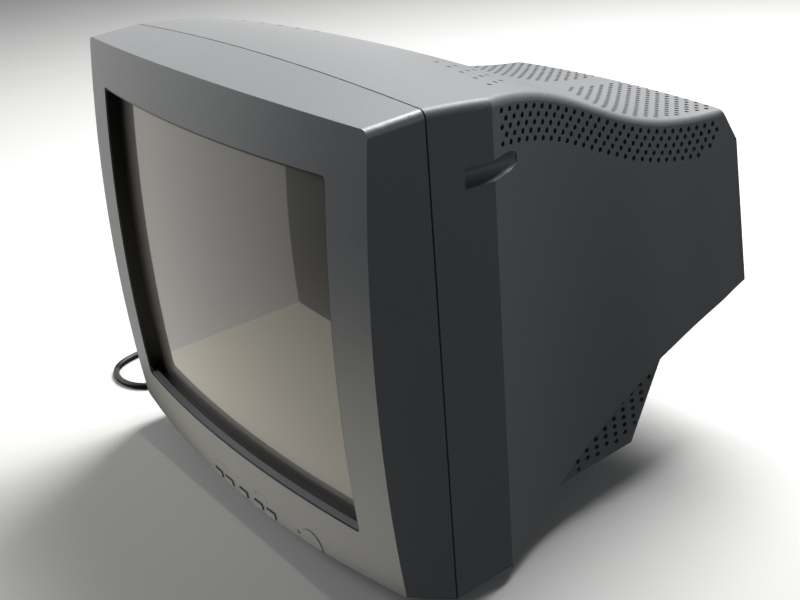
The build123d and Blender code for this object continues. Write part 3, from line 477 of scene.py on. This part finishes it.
FINISHES = {
    silver: ["front_bezel", "screen_trim", "power_button", "volume_down_button", "volume_up_button"]
    + ["menu_button", "channel_down_button", "channel_up_button"],
    cover: ["rear_cover"],
    black: ["screen_surround", "jack_panel", "tact_switches", "power_switch", "infrared_receiver"],
    tube_face_glass(): ["crt_panel_glass"],
    graphite_glass(): ["crt_funnel_glass"],
    clear_glass(): ["crt_neck_glass"],
    black_plastic("dark_red_acrylic", "#14060a", 0.12): ["remote_sensor_window"],
    steel: ["cover_screws", "tube_mount_screws", "implosion_band", "electron_gun"],
    tin: ["tuner_module", "ground_braid"],
    bright_metal("nickel_plated_brass", "#c8c2b4", 0.18): ["antenna_jack"],
    mask_black: ["shadow_mask", "mask_frame"],
    bakelite: ["tube_base", "crt_socket"],
    simple("black_vinyl_tape", "#0c0c0e", "#161618", 0.35, 8.0, 0.1): ["degaussing_coil"],
    ivory: ["yoke_former", "convergence_rings", "focus_knob", "screen_knob"],
    copper: ["yoke_windings"],
    ferrite: ["yoke_core", "power_transformer"],
    board: ["main_board", "neck_board", "control_board"],
    anode_red: ["anode_cap", "anode_lead"],
    simple("black_epoxy_potting", "#0d0d0f", "#17171a", 0.3, 10.0): ["flyback_transformer"],
    simple("shrunk_pvc_sleeve", "#0c1220", "#141c30", 0.25, 12.0): ["capacitors"],
    bright_metal("extruded_aluminium", "#b4b6b8", 0.35): ["heat_sinks"],
    phono_plastic(): ["av_jacks"],
    simple("black_paper_cone", "#101010", "#1c1b1a", 0.75, 2.0, 0.15): [
        "left_speaker",
        "right_speaker",
    ],
    rubber: ["front_feet", "rear_foot_pads"],
    vinyl: ["strain_relief", "power_cord", "power_cord_coil", "power_plug"],
}


def finish_cad_nodes():
    for made, names in FINISHES.items():
        for name in names:
            NODES[name].data.materials.clear()
            NODES[name].data.materials.append(made)


finish_cad_nodes()

mains_cord.data.materials.append(vinyl)
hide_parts("power_cord", "power_cord_coil")
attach(mains_cord, "cabinet")
cord_tie.data.materials.append(rubber)
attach(cord_tie, "cabinet")

# ---------------------------------------------------------------- marks over the buttons

MARK_W, MARK_PROUD = 0.7, 0.12
# height of each line over the axis
MARK_H = (-186.8, -186.9, -186.5)
# start and end of each line over the buttons, and how far its ends turn down
MARK_LINES = ((-50.0, -23.4, 3.2), (-3.2, 8.6, 0.0), (31.8, 53.6, 3.2))


def mark_stroke(name, start, end, low, high):
    """A stroke of ink on the domed face, between two places across and two up."""
    outline = [
        place(x, dome_depth(x, height) - MARK_PROUD, height)
        for x, height in ((start, low), (end, low), (end, high), (start, high))
    ]
    return solid_piece(name, outline, Vector((0.0, 2 * MARK_PROUD * MM, 0.0)))


def add_marks():
    # Pad-printed ink: a thin pale film, a little glossier than the paint round it.
    ink, tree, shader = material("pad_printed_ink", "#c9cbcb", 0.45)
    mottle(tree, shader, "#c2c4c4", "#cfd1d1", 1.0)
    for index, ((start, end, drop), height) in enumerate(zip(MARK_LINES, MARK_H)):
        strokes = [(start, (start + end) / 2, height, height + MARK_W)]
        strokes.append(((start + end) / 2, end, height, height + MARK_W))
        if drop:
            strokes.append((start, start + MARK_W, height - drop, height))
            strokes.append((end - MARK_W, end, height - drop, height))
        for part, stroke in enumerate(strokes):
            piece = mark_stroke(f"button_mark_{index}_{part}", *stroke)
            piece.data.materials.append(ink)
            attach(piece, "cabinet")


add_marks()

# ---------------------------------------------------------------- floor and lights


def stage_plane(name, corners, made, only_reflected=False):
    """A flat stage piece through four corners."""
    bm = bmesh.new()
    bmesh.ops.contextual_create(bm, geom=[bm.verts.new(corner) for corner in corners])
    mesh = bpy.data.meshes.new(name)
    bm.to_mesh(mesh)
    bm.free()
    mesh.materials.append(made)
    plane = bpy.data.objects.new(name, mesh)
    plane.visible_diffuse = False
    plane.visible_glossy = only_reflected
    plane.visible_camera = not only_reflected
    plane.visible_shadow = not only_reflected
    SCENE.collection.objects.link(plane)


def glowing_card(name, near, far, strength, along, span):
    # A glowing card, no lamp, that only shows as a reflection: a painted reflection of a lit room,
    # going from one tone to the other.
    made = bpy.data.materials.new(name)
    made.use_nodes = True
    tree = made.node_tree
    tree.nodes.clear()
    where = node(tree, "TexCoord").outputs["Object"]
    split = node(tree, "SeparateXYZ", {}, {"Vector": where})
    spread = node(
        tree, "MapRange", {"From Min": span[0], "From Max": span[1]}, {"Value": split.outputs[along]}
    )
    tones = node(tree, "ValToRGB", {}, {"Fac": spread.outputs["Result"]})
    tones.color_ramp.elements[0].color = linear(near)
    tones.color_ramp.elements[1].color = linear(far)
    glow = node(tree, "Emission", {"Strength": strength}, {"Color": tones.outputs["Color"]})
    node(tree, "OutputMaterial", {}, {"Surface": glow.outputs["Emission"]})
    return made


# half the floor's width; then the left card's place, height and ends, and the front card's ends
FLOOR_HALF = 6
CARD_LEFT, CARD_RIGHT = -0.386, 0.6
CARD_FRONT, CARD_SILL, CARD_BACK = -0.662, -0.25, 0.30
CARD_TALL, CARD_LOW, TONE_RIGHT = 1.4, 0.001, 0.5


def add_stage():
    # Rolled matt emulsion on the floor: pale and even.
    made, tree, shader = material("pale_floor_paint", "#ececea", 0.8)
    mottle(tree, shader, "#ebebe9", "#ededeb", 300.0)
    half = FLOOR_HALF
    stage_plane("floor", [(-half, -half, 0), (half, -half, 0), (half, half, 0), (-half, half, 0)], made)
    ends = (CARD_FRONT, CARD_BACK)
    # painted reflection: the left card glows, darker at its front end and paler at its back
    reflection_glow = glowing_card("glowing_grey_reflection_card", "#d8d6d0", "#f2efe8", 1.05, "Y", ends)
    corners = [
        (CARD_LEFT, CARD_FRONT, 0),
        (CARD_LEFT, CARD_BACK, 0),
        (CARD_LEFT, CARD_BACK, CARD_TALL),
        (CARD_LEFT, CARD_FRONT, CARD_TALL),
    ]
    stage_plane("left_card", corners, reflection_glow, True)
    ends = (CARD_LEFT, TONE_RIGHT)
    # painted reflection: the card on the floor glows, darker at its left end and paler to the right
    reflection_glow = glowing_card("glowing_beige_reflection_card", "#e4dece", "#f2ece0", 1.35, "X", ends)
    corners = [
        (CARD_LEFT, CARD_FRONT, CARD_LOW),
        (CARD_RIGHT, CARD_FRONT, CARD_LOW),
        (CARD_RIGHT, CARD_SILL, CARD_LOW),
        (CARD_LEFT, CARD_SILL, CARD_LOW),
    ]
    stage_plane("front_card", corners, reflection_glow, True)


def add_light(name, at, towards, size, power, colour="#ffffff"):
    """A square softbox."""
    data = bpy.data.lights.new(name, "AREA")
    data.size = size
    data.energy = power
    data.color = linear(colour)[:3]
    light = bpy.data.objects.new(name, data)
    light.location = at
    light.rotation_euler = (Vector(towards) - Vector(at)).to_track_quat("-Z", "Y").to_euler()
    SCENE.collection.objects.link(light)


def add_world():
    world = bpy.data.worlds.new("studio")
    world.use_nodes = True
    background = world.node_tree.nodes["Background"]
    background.inputs["Color"].default_value = linear("#e4e8f0")
    background.inputs["Strength"].default_value = 0.07
    SCENE.world = world


add_stage()
add_world()
add_light("rear_overhead_softbox", (-0.55, 1.3, 2.2), (0.0, 0.0, 0.2), 1.5, 100.0)
add_light("front_left_softbox", (-1.7, -1.5, 1.2), (0.0, -0.1, 0.2), 1.0, 16.0)
add_light("right_rear_softbox", (2.2, 1.6, 0.9), (0.0, 0.0, 0.2), 1.0, 5.0)
